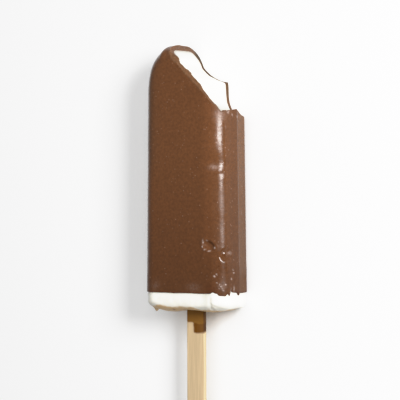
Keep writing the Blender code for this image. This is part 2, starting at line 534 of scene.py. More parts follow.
def chocolate_material(settings):
    """Set milk chocolate: faintly mottled and satin, with small pale frosty specks; painted shade darkens its low end,
    its upper left, its right side and its right wall, and a painted sheen beside the corner's highlight and a painted
    reflection on the back facet lighten it.
    """
    shader = Shader("milk_chocolate")
    base = tuple(settings.colour)
    cloud = shader.span(shader.noise(90.0, 3.0, 0.55), 0.3, 0.7)
    fine = shader.span(shader.noise(900.0, 3.0, 0.6), 0.34, 0.66)
    colour = shader.mix(cloud, tone(base, 0.86), tone(base, 1.08))
    colour = shader.mix(shader.math("MULTIPLY", fine, 0.6), tone(base, 0.84), shader.mix(0.5, colour, tone(base, 1.62)))
    along = shader.axis("Y")
    # painted shade: the chocolate is darker towards the low end, fading out over six tenths of the length
    paler = shader.span(along, CORE_END_Y, CORE_END_Y + 0.6 * (TIP_Y - CORE_END_Y))
    colour = shader.mix(paler, shader.mix(1.0, colour, (0.66, 0.62, 0.53), "MULTIPLY"), colour)
    # painted sheen: lighter along a band left of the corner's highlight, fading out near the low end
    colour = shader.mix(shader.painted("painted_sheen"), colour, shader.mix(1.0, colour, (1.22, 1.22, 1.26), "MULTIPLY"))
    # painted shade: darker and cooler on the upper left of the front
    colour = shader.mix(shader.painted("far_left_shade"), colour, shader.mix(1.0, colour, (0.82, 0.90, 1.05), "MULTIPLY"))
    # painted shade: darker and less blue from the corner's highlight to the right
    colour = shader.mix(shader.painted("right_side_shade"), colour, shader.mix(1.0, colour, (0.90, 0.875, 0.76), "MULTIPLY"))
    # painted shade: the right wall is darker; the same mark lowers its specular level
    wall = shader.math("MULTIPLY", shader.painted("wall"), 0.8)
    colour = shader.mix(wall, colour, shader.mix(1.0, colour, (0.88, 0.86, 0.84), "MULTIPLY"))
    # painted reflection: the flat facet at the back of the right wall is lighter
    colour = shader.mix(shader.painted("facet"), colour, shader.mix(1.0, colour, (1.27, 1.36, 1.20), "MULTIPLY"))
    specks = shader.spots(560.0, 0.05, 0.11, seed=0.3)
    some = shader.span(shader.noise(160.0, 2.0), 0.42, 0.58)
    specks = shader.math("MULTIPLY", specks, some)
    colour = shader.mix(shader.math("MULTIPLY", specks, 0.55), colour, (0.36, 0.23, 0.17))
    # darker along the coating's lower edge, and in one spot low on the right corner
    thin = shader.painted("thin")
    colour = shader.mix(shader.math("MULTIPLY", thin, 0.7), colour, (0.066, 0.015, 0.003))
    # pale ice, and painted highlight mottling on the right corner and in a dent, from the same mark
    frost_and_highlight = shader.painted("frost_and_highlight")
    grainy = shader.math("MULTIPLY", frost_and_highlight, shader.span(shader.noise(1300.0, 3.0, 0.7), 0.34, 0.56))
    colour = shader.mix(grainy, colour, (0.60, 0.50, 0.455))
    shader.colour(colour)
    gloss = shader.span(shader.noise(300.0, 3.0, 0.6), 0.3, 0.7, settings.roughness - 0.04, settings.roughness + 0.06)
    dull = shader.painted("dull")
    shader.roughness(shader.math("ADD", gloss, shader.math("MULTIPLY", dull, 0.25)))
    skin = shader.bump(shader.noise(700.0, 3.0, 0.6), 0.00006, 0.8)
    pits = shader.bump(specks, 0.00006, 0.6, skin)
    shader.normal(pits)
    shader.join(shader.span(shader.painted("wall"), 0.0, 1.0, 0.32, 0.16), shader.surface.inputs["Specular IOR Level"])
    return shader.material


def broken_material(settings):
    """Where the coating broke: paler and matt, with tan glints, and with painted shade on the broken edge low on the
    back.
    """
    shader = Shader("broken_chocolate")
    base = tuple(settings.broken_colour)
    cloud = shader.span(shader.noise(500.0, 4.0, 0.6), 0.3, 0.7)
    colour = shader.mix(cloud, tone(base, 0.78), tone(base, 1.2))
    glint = shader.span(shader.noise(1500.0, 2.0, 0.5), 0.60, 0.72)
    colour = shader.mix(shader.math("MULTIPLY", glint, 0.4), colour, (0.34, 0.20, 0.11))
    # painted shade: the broken edge low on the back, facing away from the light, is darkened to the back edge colour
    at_back = shader.math("MULTIPLY", shader.span(shader.axis("Z"), 3.2 * MM, 1.8 * MM), shader.span(shader.axis("X"), 10.2 * MM, 8.6 * MM))
    colour = shader.mix(at_back, colour, tuple(settings.shadow_colour))
    shader.colour(colour)
    shader.surface.inputs["Roughness"].default_value = 0.5
    shader.surface.inputs["Specular IOR Level"].default_value = 0.2
    shader.normal(shader.bump(shader.noise(1400.0, 4.0, 0.6), 0.00012, 0.7))
    return shader.material


def ice_cream_material(settings):
    """Frozen vanilla cream: very pale, matt, and soft in its shadows, with painted grey shade beside the broken
    coating, at the ends of the bite and on the bare end, and tan painted shade beneath that end.
    """
    shader = Shader("vanilla_ice_cream")
    base = tuple(settings.colour)
    cloud = shader.span(shader.noise(150.0, 3.0, 0.5), 0.3, 0.7)
    colour = shader.mix(cloud, tone(base, 0.90), base)
    # painted shade: greyer beside the broken coating, at both ends of the bite, and in bands on the bare end
    colour = shader.mix(shader.painted("painted_edge_shade"), colour, tuple(settings.edge_shade_colour))
    # painted shade: the ice cream's bare end is tan on its rounded lower face, for shade lit by tan bounced light
    tan = shader.painted("underside_shade")
    colour = shader.mix(tan, colour, tuple(settings.underside_shade_colour))
    colour = shader.mix(shader.painted("speck"), colour, (0.16, 0.05, 0.02))
    shader.colour(colour)
    shader.surface.inputs["Roughness"].default_value = 0.55
    shader.surface.inputs["Subsurface Weight"].default_value = 0.35
    shader.surface.inputs["Subsurface Radius"].default_value = (1.0, 0.85, 0.7)
    shader.surface.inputs["Subsurface Scale"].default_value = 0.0012
    grain = shader.bump(shader.noise(900.0, 5.0, 0.65), 0.00008, 0.6)
    shader.normal(grain)
    return shader.material


def wood_material(settings):
    """Smooth sawn birch with fine grain along the stick, with the bar's shadow painted dark brown on its neck, a darker
    streak down one side below it, and painted shade on its right edge there.
    """
    shader = Shader("birch_wood")
    base = tuple(settings.colour)
    along = shader.stretched((1.0, 0.035, 1.0))
    fibre = shader.span(shader.noise(1900.0, 5.0, 0.6, along), 0.3, 0.7)
    band = shader.span(shader.noise(420.0, 2.0, 0.5, along), 0.3, 0.7)
    colour = shader.mix(fibre, tone(base, 0.84), tone(base, 1.08))
    colour = shader.mix(shader.math("MULTIPLY", band, 0.4), colour, tone(base, 0.8))
    wander = shader.math("MULTIPLY", shader.math("SUBTRACT", shader.noise(260.0, 3.0), 0.5), 2.4 * MM)
    height = shader.math("ADD", shader.axis("Y"), wander)
    # a darker golden-brown streak down the right half of the stick, within about 9 mm of the ice cream
    right = shader.span(shader.math("ADD", shader.axis("X"), wander), -1.5 * MM, -0.6 * MM)
    lower = shader.span(height, CORE_END_Y - 9.3 * MM, CORE_END_Y - 8.5 * MM)
    streaky = shader.span(band, 0.0, 1.0, 0.93, 1.0)
    dark_streak = shader.math("MULTIPLY", shader.math("MULTIPLY", right, lower), streaky)
    colour = shader.mix(dark_streak, colour, tuple(settings.dark_streak_colour))
    # painted shadow: the dark brown neck stands for the bar's shadow cast on the stick
    wet = shader.span(height, CORE_END_Y - 4.9 * MM, CORE_END_Y - 4.4 * MM)
    colour = shader.mix(wet, colour, tuple(settings.neck_shadow_colour))
    # painted shade: the stick's right edge is darker within about 9 mm of the ice cream
    beside = shader.math("MULTIPLY", shader.span(shader.axis("X"), 4.15 * MM, 4.45 * MM), lower)
    colour = shader.mix(beside, colour, shader.mix(1.0, colour, (0.42, 0.38, 0.32), "MULTIPLY"))
    shader.colour(colour)
    shader.surface.inputs["Roughness"].default_value = 0.6
    shader.surface.inputs["Specular IOR Level"].default_value = 0.2
    shader.normal(shader.bump(fibre, 0.00004, 0.6))
    return shader.material


# ---------------------------------------------------------------- settings


class CoatingSettings(bpy.types.PropertyGroup):
    colour: FloatVectorProperty(
        name="Chocolate",
        description="Colour of the chocolate coating",
        subtype="COLOR",
        size=3,
        min=0.0,
        max=1.0,
        default=(0.1245, 0.048, 0.0165),
    )
    broken_colour: FloatVectorProperty(
        name="Broken edge",
        description="Colour of the coating where it broke",
        subtype="COLOR",
        size=3,
        min=0.0,
        max=1.0,
        default=(0.128, 0.061, 0.028),
    )
    shadow_colour: FloatVectorProperty(
        name="Back edge",
        description="Colour of the thin broken edge on the back",
        subtype="COLOR",
        size=3,
        min=0.0,
        max=1.0,
        default=(0.052, 0.034, 0.014),
    )
    roughness: FloatProperty(
        name="Roughness", description="How matt the coating is", default=0.235, min=0.0, max=1.0, subtype="FACTOR"
    )
    thickness: FloatProperty(
        name="Thickness",
        description="Thickness of the coating on the bar's sides",
        default=0.9 * MM,
        min=0.3 * MM,
        unit="LENGTH",
    )
    tip_extra: FloatProperty(
        name="Tip extra",
        description="How much thicker the coating is at the tip",
        default=1.1 * MM,
        min=0.0,
        unit="LENGTH",
    )
    front_extra: FloatProperty(
        name="Front extra",
        description="How much thicker the coating is on the upper front",
        default=0.5 * MM,
        min=0.0,
        unit="LENGTH",
    )


    back_extra: FloatProperty(
        name="Back extra",
        description="How much thicker the coating is on the upper back",
        default=0.6 * MM,
        min=0.0,
        unit="LENGTH",
    )


class BiteSettings(bpy.types.PropertyGroup):
    grain_step: FloatProperty(
        name="Fineness", description="Spacing of the bitten surface's points", default=0.38 * MM, unit="LENGTH"
    )
    bite_wave: FloatProperty(
        name="Waves", description="Height of the soft waves in the bitten surface", default=0.22 * MM, unit="LENGTH"
    )
    bite_drag: FloatProperty(
        name="Drag marks", description="Height of the marks drawn along the bitten surface", default=0.10 * MM, unit="LENGTH"
    )
    bite_grain: FloatProperty(
        name="Grain", description="Height of the grain in the bitten surface", default=0.05 * MM, unit="LENGTH"
    )
    chip: FloatProperty(
        name="Chips", description="Size of the chips along the coating's edge", default=0.12 * MM, unit="LENGTH"
    )
    back_step: FloatProperty(
        name="Back step",
        description="How far the ice cream stands back from the coating's edge on the back",
        default=0.5 * MM,
        unit="LENGTH",
    )
    lip_depth: FloatProperty(
        name="Lip depth",
        description="Depth of the slanting broken edge on the front",
        default=1.4 * MM,
        unit="LENGTH",
    )


class CoreSettings(bpy.types.PropertyGroup):
    colour: FloatVectorProperty(
        name="Ice cream",
        description="Colour of the ice cream",
        subtype="COLOR",
        size=3,
        min=0.0,
        max=1.0,
        default=(0.85, 0.83, 0.745),
    )
    # painted shade colour for the ice cream beside the coating and on the bare end
    edge_shade_colour: FloatVectorProperty(
        name="Beside the coating",
        description="Colour of the bitten ice cream right beside the broken coating",
        subtype="COLOR",
        size=3,
        min=0.0,
        max=1.0,
        default=(0.33, 0.31, 0.275),
    )
    # painted shade colour for the rounded lower face of the ice cream's end
    underside_shade_colour: FloatVectorProperty(
        name="Underside",
        description="Colour of the ice cream's soft end round the stick",
        subtype="COLOR",
        size=3,
        min=0.0,
        max=1.0,
        default=(0.50, 0.335, 0.155),
    )
    lumps: FloatProperty(
        name="Lumps", description="Height of the lumps on the bare end", default=0.26 * MM, unit="LENGTH"
    )


class StickSettings(bpy.types.PropertyGroup):
    colour: FloatVectorProperty(
        name="Wood",
        description="Colour of the bare wood",
        subtype="COLOR",
        size=3,
        min=0.0,
        max=1.0,
        default=(0.56, 0.43, 0.27),
    )
    # painted shadow colour for the stick's neck under the bar
    neck_shadow_colour: FloatVectorProperty(
        name="Stain",
        description="Colour of the wood where it is wet and stained",
        subtype="COLOR",
        size=3,
        min=0.0,
        max=1.0,
        default=(0.208, 0.096, 0.017),
    )
    # colour of the darker streak down the right half of the stick below its neck
    dark_streak_colour: FloatVectorProperty(
        name="Soaked streak",
        description="Colour of the wood where the wet has run down one side",
        subtype="COLOR",
        size=3,
        min=0.0,
        max=1.0,
        default=(0.125, 0.044, 0.001),
    )


class StudioSettings(bpy.types.PropertyGroup):
    floor_colour: FloatVectorProperty(
        name="Floor",
        description="Colour of the floor",
        subtype="COLOR",
        size=3,
        min=0.0,
        max=1.0,
        default=(0.93, 0.93, 0.93),
    )
    turn: FloatProperty(
        name="View turn",
        description="How far the view is turned from the front towards the right side",
        default=math.radians(37.0),
        subtype="ANGLE",
        unit="ROTATION",
    )
    distance: FloatProperty(
        name="View distance", description="Distance of the camera", default=774.0 * MM, unit="LENGTH"
    )
    key_energy: FloatProperty(name="Key light", description="Power of the soft key light", default=3.75)
    fill_energy: FloatProperty(name="Fill light", description="Power of the broad fill light", default=3.95)
    room_light: FloatProperty(name="Room light", description="Strength of the even room light", default=0.32)


class BarSettings(bpy.types.PropertyGroup):
    coating: PointerProperty(type=CoatingSettings)
    bite: PointerProperty(type=BiteSettings)
    core: PointerProperty(type=CoreSettings)
    stick: PointerProperty(type=StickSettings)
    studio: PointerProperty(type=StudioSettings)


# ---------------------------------------------------------------- the coating


def crater(points_around, down, place, size, turn, depth, rim):
    """A dent with a raised rim: place and size as (around, down), turned by an angle."""
    a, d = points_around - place[0], down - place[1]
    u = (a * math.cos(turn) + d * math.sin(turn)) / size[0]
    v = (-a * math.sin(turn) + d * math.cos(turn)) / size[1]
    out = np.hypot(u, v)
    return -depth * (1.0 - smooth_step(0.35, 1.0, out)) + rim * swell(out - 1.1, 0.22)


def facet(points_around, down, place, size, slopes):
    """A small flat spot that leans by these slopes round the section and down the bar."""
    a, d = points_around - place[0], down - place[1]
    return (slopes[0] * a + slopes[1] * d) * np.exp(-((a / size[0]) ** 2 + (d / size[1]) ** 2))


def sunk(points_around, down, place, size, turn, depth):
    """A soft hollow, or a soft lump where the depth is negative."""
    a, d = points_around - place[0], down - place[1]
    u = (a * math.cos(turn) + d * math.sin(turn)) / size[0]
    v = (-a * math.sin(turn) + d * math.cos(turn)) / size[1]
    return -depth * np.exp(-(u * u + v * v))


DENTS = ((14.85 * MM, 86.1 * MM), (22.3 * MM, 89.6 * MM))


def coating_relief(points):
    """How far the coating's skin stands in or out of the plain form."""
    way = around(points)
    down = TIP_Y - points[:, 1]
    relief = 0.10 * MM * noise_at(points, 17.0 * MM, 21)
    relief += 0.035 * MM * noise_at(points, 5.0 * MM, 22)
    relief += 0.012 * MM * noise_at(points, 1.6 * MM, 23)
    # the tip is a little fuller on the left, and the right side towards the end
    tip = smooth_step(9.0 * MM, 3.0 * MM, down)
    relief += 0.62 * MM * tip * swell(points[:, 0] + 10.6 * MM, 1.9 * MM) * smooth_step(11 * MM, 15 * MM, points[:, 2])
    relief += 0.42 * MM * tip * swell(points[:, 0] + 8.0 * MM, 3.5 * MM) * smooth_step(15 * MM, 11 * MM, points[:, 2])
    relief += 0.35 * MM * tip * swell(points[:, 0] + 8.0 * MM, 3.5 * MM) * swell(points[:, 2] - 13.5 * MM, 2.2 * MM)
    relief += 0.50 * MM * tip * swell(points[:, 0] + 9.0 * MM, 2.6 * MM) * swell(points[:, 2] - 2.5 * MM, 2.5 * MM)
    relief -= 0.22 * MM * swell(down - 11.0 * MM, 6.0 * MM) * smooth_step(-17.0 * MM, -21.0 * MM, way)
    relief += (0.12 + 0.22 * smooth_step(92.5 * MM, 96.0 * MM, down)) * MM * smooth_step(24.0 * MM, 29.0 * MM, way)
    # the front rolls over softly towards the right corner, and twists a little along it
    relief -= 0.32 * MM * (smooth_step(-2.0 * MM, 17.0 * MM, way) - smooth_step(17.0 * MM, 24.0 * MM, way))
    twist = np.clip((points[:, 1] + 5 * MM) / (45 * MM), -1.0, 1.0)
    relief -= 0.055 * twist * (way - 20.3 * MM) * swell(way - 20.3 * MM, 4.5 * MM)
    # the waves across the right corner
    steeper = down + np.maximum(down - 52.1 * MM, 0.0)
    relief += sunk(way, steeper, (18.3 * MM, 52.1 * MM), (6.0 * MM, 4.1 * MM), 0.05, 0.46 * MM)
    relief += sunk(way, down, (20.6 * MM, 56.1 * MM), (4.6 * MM, 1.0 * MM), -0.3, 0.25 * MM)
    relief -= 0.06 * MM * swell(way - 20.5 * MM, 4.0 * MM) * (smooth_step(56.5 * MM, 61.5 * MM, down) - smooth_step(66.0 * MM, 76.0 * MM, down))
    relief += sunk(way, down, (16.5 * MM, 53.0 * MM), (4.0 * MM, 1.6 * MM), 0.0, -0.05 * MM)
    # the two dents low on the right
    relief += crater(way, down, (14.65 * MM, 86.2 * MM), (3.6 * MM, 2.3 * MM), 0.42, 1.05 * MM, 0.16 * MM)
    relief += crater(way, down, (22.7 * MM, 90.1 * MM), (3.7 * MM, 3.1 * MM), -0.4, 0.66 * MM, 0.0)
    relief += facet(way, down, (21.75 * MM, 89.05 * MM), (0.95 * MM, 0.8 * MM), (0.35, 0.36))
    relief += sunk(way, down, (23.6 * MM, 87.7 * MM), (1.7 * MM, 0.55 * MM), -0.6, 0.22 * MM)
    relief += sunk(way, down, (20.6 * MM, 76.5 * MM), (3.0 * MM, 4.5 * MM), 0.0, 0.10 * MM)
    # the corner is flattened a little where the light runs along it, the most above the waves
    upper = smooth_step(50.0 * MM, 44.0 * MM, down) * smooth_step(29.0 * MM, 36.0 * MM, down)
    relief -= 0.03 * MM * swell(way - 20.0 * MM, 1.9 * MM)
    relief += 0.22 * MM * upper * (smooth_step(-12.0 * MM, 12.0 * MM, way) - smooth_step(16.6 * MM, 20.2 * MM, way))
    relief -= 0.14 * MM * swell(way - 20.5 * MM, 4.0 * MM) * smooth_step(92.5 * MM, 99.0 * MM, down)
    # the frosty lump over the drip
    relief += sunk(way, down, (20.8 * MM, 104.6 * MM), (2.1 * MM, 2.6 * MM), 0.0, -0.10 * MM)
    relief -= sunk(way, down, (20.9 * MM, 103.2 * MM), (2.2 * MM, 1.9 * MM), 0.0, 0.15 * MM) * noise_at(points, 0.9 * MM, 24)
    return relief


def coating_edge(points):
    """How far the coating's lower edge hangs past its plain end, or stops short of it."""
    way = around(points)
    line = np.column_stack([way, np.zeros(len(way)), points[:, 2]])
    edge = 0.11 * MM * noise_at(line, 6.0 * MM, 31) + 0.05 * MM * noise_at(line, 1.5 * MM, 32)
    edge += -1.02 * MM + 0.22 * MM * smooth_step(0.0, 14.0 * MM, way)
    edge -= 0.95 * MM * smooth_step(24.4 * MM, 25.4 * MM, way)
    edge += 0.38 * MM * smooth_step(29.0 * MM, 31.0 * MM, way)
    edge -= 0.60 * MM * swell(way - 16.6 * MM, 0.8 * MM)
    edge += 0.90 * MM * smooth_step(2.4 * MM, 1.4 * MM, np.abs(way - 20.8 * MM))
    edge -= 0.35 * MM * swell(way - 23.5 * MM, 0.3 * MM)
    edge += 0.75 * MM * swell(way - 24.2 * MM, 0.4 * MM)
    edge -= 1.60 * MM * swell(way - 25.2 * MM, 0.36 * MM)
    edge += 1.05 * MM * swell(way - 30.4 * MM, 0.42 * MM)
    return edge


def frost_and_highlight_amount(points):
    """Where small white ice sits on the coating, and where mottled highlights are painted on the right corner and in a
    dent, from 0 to 1.
    """
    way = around(points)
    down = TIP_Y - points[:, 1]

    def patch(place, size):
        return np.exp(-(((way - place[0] * MM) / (size[0] * MM)) ** 2 + ((down - place[1] * MM) / (size[1] * MM)) ** 2))

    # the broad patches on the right corner at 31.6, 38.5 and 53.2 mm down and in the dent at 89.3 mm down are painted
    # highlights
    frost_and_highlight = 0.10 * patch((20.8, 103.2), (1.9, 1.6)) + 0.16 * patch((20.0, 31.6), (2.4, 2.2))
    frost_and_highlight += 0.07 * patch((-13.9, 103.6), (2.2, 1.8)) + 0.08 * patch((6.5, 104.0), (3.2, 1.6))
    frost_and_highlight += 0.30 * patch((24.7, 89.3), (0.9, 0.7)) + 0.10 * patch((18.7, 38.5), (1.0, 6.0)) + 0.26 * patch((17.2, 53.2), (2.4, 1.0))
    for place, size in (
        ((19.6, 102.6), (0.22, 0.35)),
        ((20.3, 103.3), (0.30, 0.18)),
        ((20.9, 104.2), (0.22, 0.22)),
        ((21.4, 105.0), (0.30, 0.18)),
        ((22.3, 102.6), (0.30, 0.25)),
        ((18.4, 101.8), (0.20, 0.15)),
        ((19.4, 104.0), (0.15, 0.20)),
        ((17.4, 99.0), (0.40, 0.30)),
        ((18.3, 98.2), (0.3, 0.25)),
        ((26.4, 96.4), (0.25, 0.3)),
        ((26.7, 97.7), (0.35, 0.22)),
        ((25.3, 100.2), (0.3, 0.3)),
        ((11.4, 86.6), (0.3, 0.4)),
        ((11.6, 84.4), (0.3, 0.7)),
        ((12.5, 87.8), (0.5, 0.25)),
        ((14.9, 88.4), (0.7, 0.2)),
        ((17.4, 87.0), (0.35, 0.35)),
        ((13.6, 84.0), (0.4, 0.2)),
        ((34.0, 72.5), (0.3, 0.4)),
        ((25.0, 105.0), (0.2, 0.8)),
        ((26.9, 104.3), (0.2, 1.0)),
        ((18.1, 30.6), (0.25, 0.22)),
        ((22.5, 36.0), (0.25, 0.25)),
        ((24.0, 29.8), (0.55, 0.5)),
        ((26.6, 31.3), (0.35, 0.3)),
        ((30.0, 31.8), (0.3, 0.3)),
    ):
        frost_and_highlight += patch(place, size)
    return np.clip(frost_and_highlight, 0.0, 1.0)


def flatten_back_corner(points, inset=0.0):
    """Gives the right side its flat facet towards the back."""
    x, y, z = points.T
    start = THICKNESS * 0.45
    limit = half_width_at(y) - math.tan(math.radians(14.0)) * (start - z) - inset
    right = (x > 0) & (z < start)
    points[:, 0] = np.where(right, np.minimum(x, limit), x)
    return points


def mark_broken(obj, cutter_points, cutter_normals):
    """Gives the faces that the bite made the second material."""
    tree = KDTree(len(cutter_points))
    for i, point in enumerate(cutter_points):
        tree.insert(point, i)
    tree.balance()
    for face in obj.data.polygons:
        _, i, gap = tree.find(face.center)
        if gap < 0.35 * MM and face.normal.dot(Vector(cutter_normals[i])) < -0.6:
            face.material_index = 1


def paint(mesh, name, values):
    layer = mesh.attributes.new(name, "FLOAT", "POINT")
    layer.data.foreach_set("value", values.astype(np.float32))


def hollow_body(name, settings, spacing, low_y, gap, **end):
    """The form inside the coating, drawn in by the coating's own thickness at each place."""
    mesh = bar_body(
        name, spacing, inset=settings.thickness, tip_extra=settings.tip_extra, low_y=low_y, **end
    )
    points, normals = mesh_points(mesh), mesh_normals(mesh)
    low_down = smooth_step(COATING_END_Y + 14 * MM, COATING_END_Y, points[:, 1])
    swelling = gap + (settings.thickness - 0.5 * MM) * low_down
    points = points + normals * swelling[:, None]
    upper = smooth_step(25 * MM, 55 * MM, points[:, 1]) * smooth_step(0.5, 0.95, points[:, 2] / THICKNESS)
    points[:, 2] -= settings.front_extra * upper
    lower_back = smooth_step(20 * MM, 40 * MM, points[:, 1]) * smooth_step(6.0 * MM, 1.5 * MM, points[:, 2])
    points[:, 2] += settings.back_extra * lower_back * smooth_step(5.0 * MM, 9.0 * MM, points[:, 0])
    points = flatten_back_corner(points, settings.thickness * (1.0 - low_down) + 0.5 * MM * low_down - gap)
    way, down = around(points), TIP_Y - points[:, 1]
    for place in DENTS:
        points -= normals * (1.15 * MM * np.exp(-(((way - place[0]) / (3.4 * MM)) ** 2 + ((down - place[1]) / (3.0 * MM)) ** 2)))[:, None]
    move_points(mesh, points)
    return mesh


class BAR_OT_coating(bpy.types.Operator):
    """Make the chocolate coating, with its dents, its drip and its broken edge at the bite"""

    bl_idname = "bar.coating"
    bl_label = "Make coating"

    def execute(self, context):
        settings = context.scene.ice_cream_bar.coating
        bite = context.scene.ice_cream_bar.bite
        low_y = COATING_END_Y - 0.2 * MM
        side_length = TIP_Y - TIP_HEIGHT - low_y
        spacing = Spacing(
            side=graded(0.0, 1.0, (0.0, 0.34), 0.38 * MM / side_length, 0.75 * MM / side_length, 0.05),
            shoulder=32,
            across=graded(0.0, 1.0, (0.66, 1.0), 0.012, 0.03, 0.06),
            rim=28,
            wall=20,
            back_rim=10,
        )
        mesh = bar_body("chocolate_skin", spacing, low_y=low_y)
        plain = mesh_points(mesh)
        points = plain + mesh_normals(mesh) * coating_relief(plain)[:, None] * (plain[:, 2] > 0.5 * MM)[:, None]
        points = flatten_back_corner(points)
        hang = smooth_step(COATING_END_Y + 7.0 * MM, COATING_END_Y, points[:, 1])
        points[:, 1] -= coating_edge(plain) * hang
        points[:, 2] = np.clip(points[:, 2], 0.0, THICKNESS + 0.3 * MM)
        move_points(mesh, points)
        obj = new_object("chocolate_skin", mesh)

        coarse = Spacing(
            side=np.linspace(0.0, 1.0, 90), shoulder=20, across=np.linspace(0.0, 1.0, 30), rim=12, wall=6, back_rim=8
        )
        hollow = new_object("hollow", hollow_body("hollow", settings, coarse, COATING_END_Y - 9 * MM, 0.0))
        bitten = bite_cutter("bitten", bite, for_coating=True)
        bitten_points, bitten_normals = mesh_points(bitten.data), mesh_normals(bitten.data)
        cut_away(obj, hollow, bitten)
        obj.data.materials.append(chocolate_material(settings))
        obj.data.materials.append(broken_material(settings))
        mark_broken(obj, bitten_points, bitten_normals)
        skin = mesh_points(obj.data)
        paint(obj.data, "frost_and_highlight", frost_and_highlight_amount(skin))
        way, down = around(skin), TIP_Y - skin[:, 1]
        dull = 0.55 * smooth_step(96 * MM, 101 * MM, down) + 0.25 * smooth_step(58 * MM, 64 * MM, down) + 0.9 * swell(way - 19.5 * MM, 4 * MM) * swell(down - 29.5 * MM, 3 * MM)
        dull -= 0.6 * swell(way - 21.5 * MM, 3.5 * MM) * swell(down - 90.5 * MM, 3.5 * MM)
        paint(obj.data, "dull", dull)
        # painted reflection on the back facet of the right wall
        facet_share = smooth_step(9.6 * MM, 9.0 * MM, skin[:, 2])
        wall = smooth_step(23.0 * MM, 27.0 * MM, way)
        paint(obj.data, "facet", facet_share * wall)
        # the wall mark: painted shade on the right wall and low on the right corner, and a lower specular level there
        below = swell(way - 21.0 * MM, 3.5 * MM) * smooth_step(92.0 * MM, 96.0 * MM, down)
        paint(obj.data, "wall", np.maximum((0.5 + 0.5 * facet_share) * wall, 0.8 * below))
        # painted sheen beside the corner's highlight
        paint(obj.data, "painted_sheen", swell(way - 14.0 * MM, 1.9 * MM) * smooth_step(95.0 * MM, 88.0 * MM, down))
        # painted shade on the upper left of the front
        paint(obj.data, "far_left_shade", smooth_step(-9.0 * MM, -19.0 * MM, way) * smooth_step(62.0 * MM, 46.0 * MM, down))
        # painted shade from the corner's highlight to the right
        paint(obj.data, "right_side_shade", smooth_step(16.5 * MM, 20.5 * MM, way))
        # darker along the coating's lower edge, and in one spot low on the right corner
        end_y = COATING_END_Y - 0.2 * MM - coating_edge(skin)
        thin = smooth_step(0.55 * MM, 0.1 * MM, skin[:, 1] - end_y)
        thin += 0.5 * swell(way - 15.6 * MM, 2.6 * MM) * swell(down - 105.6 * MM, 2.6 * MM)
        paint(obj.data, "thin", np.clip(thin, 0.0, 1.0))
        shade(obj, 38)
        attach(obj, "root")
        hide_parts("chocolate_coating")
        return {"FINISHED"}


# ---------------------------------------------------------------- the ice cream


